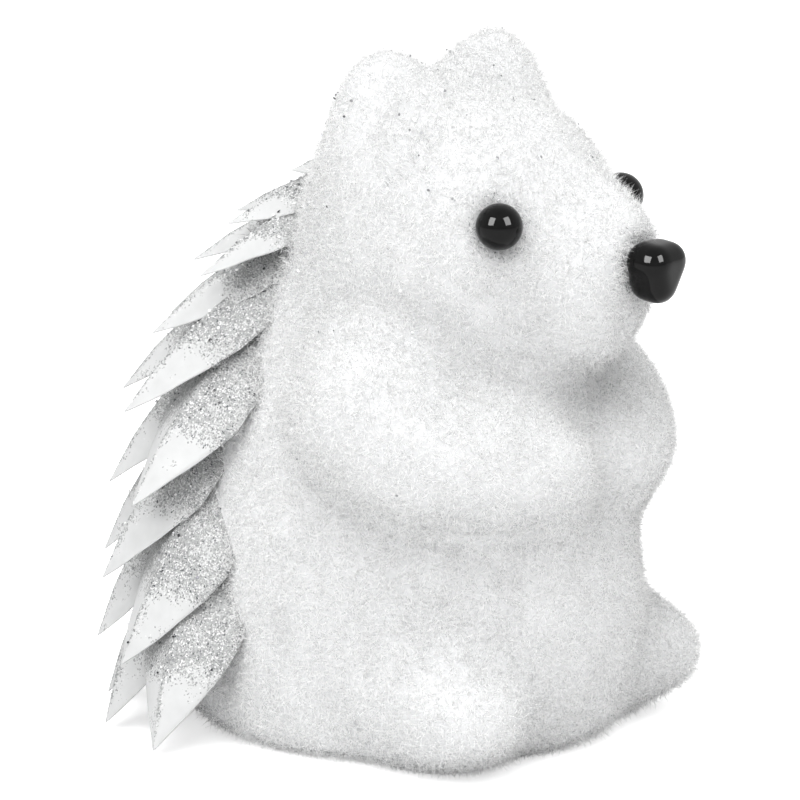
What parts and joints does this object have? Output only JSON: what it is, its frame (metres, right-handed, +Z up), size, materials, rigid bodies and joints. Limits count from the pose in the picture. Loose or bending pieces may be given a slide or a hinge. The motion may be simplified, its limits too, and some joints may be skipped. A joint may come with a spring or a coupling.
{
  "type": "hedgehog figurine",
  "caption": "Flocked hedgehog ornament sitting upright with folded arms, bead eyes and nose, and shingled glitter film spines down its back.",
  "frame": {"origin": "on the flat underside at Z = 0, below the middle of the body", "axes": "+Z up; the figure faces -Y; its left side is +X"},
  "size_m": [0.1164, 0.1372, 0.1517],
  "materials": {
    "white_flock": "white nylon flock on a foam core",
    "spine_film": "translucent white film with fine glitter",
    "black_bead": "polished black",
    "pin_steel": "drawn wire",
    "peg_wood": "plain turned wood"
  },
  "bodies": {
    "root": {"arm_left": "white_flock", "arm_right": "white_flock", "ear_left": "white_flock", "ear_right": "white_flock", "eye_left": "black_bead", "eye_pin_left": "pin_steel", "eye_pin_right": "pin_steel", "eye_right": "black_bead", "foot_left": "white_flock", "foot_right": "white_flock", "head": "white_flock", "neck_peg": "peg_wood", "nose": "black_bead", "nose_pin": "pin_steel", "spine_row_1_1": "spine_film", "spine_row_1_2": "spine_film", "spine_row_2_1": "spine_film", "spine_row_2_2": "spine_film", "spine_row_2_3": "spine_film", "spine_row_2_4": "spine_film", "spine_row_3_1": "spine_film", "spine_row_3_2": "spine_film", "spine_row_3_3": "spine_film", "spine_row_3_4": "spine_film", "spine_row_3_5": "spine_film", "spine_row_4_1": "spine_film", "spine_row_4_2": "spine_film", "spine_row_4_3": "spine_film", "spine_row_4_4": "spine_film", "spine_row_5_1": "spine_film", "spine_row_5_2": "spine_film", "spine_row_5_3": "spine_film", "spine_row_5_4": "spine_film", "spine_row_5_5": "spine_film", "spine_row_6_1": "spine_film", "spine_row_6_2": "spine_film", "spine_row_6_3": "spine_film", "spine_row_6_4": "spine_film", "spine_row_6_5": "spine_film", "spine_row_6_6": "spine_film", "spine_row_7_1": "spine_film", "spine_row_7_2": "spine_film", "spine_row_7_3": "spine_film", "spine_row_7_4": "spine_film", "spine_row_7_5": "spine_film", "spine_row_8_1": "spine_film", "spine_row_8_2": "spine_film", "spine_row_8_3": "spine_film", "spine_row_8_4": "spine_film", "spine_row_8_5": "spine_film", "spine_row_8_6": "spine_film", "spine_row_9_1": "spine_film", "spine_row_9_2": "spine_film", "spine_row_9_3": "spine_film", "spine_row_9_4": "spine_film", "spine_row_9_5": "spine_film", "spine_row_9_6": "spine_film", "spine_row_9_7": "spine_film", "torso": "white_flock"}
  },
  "joints": []
}
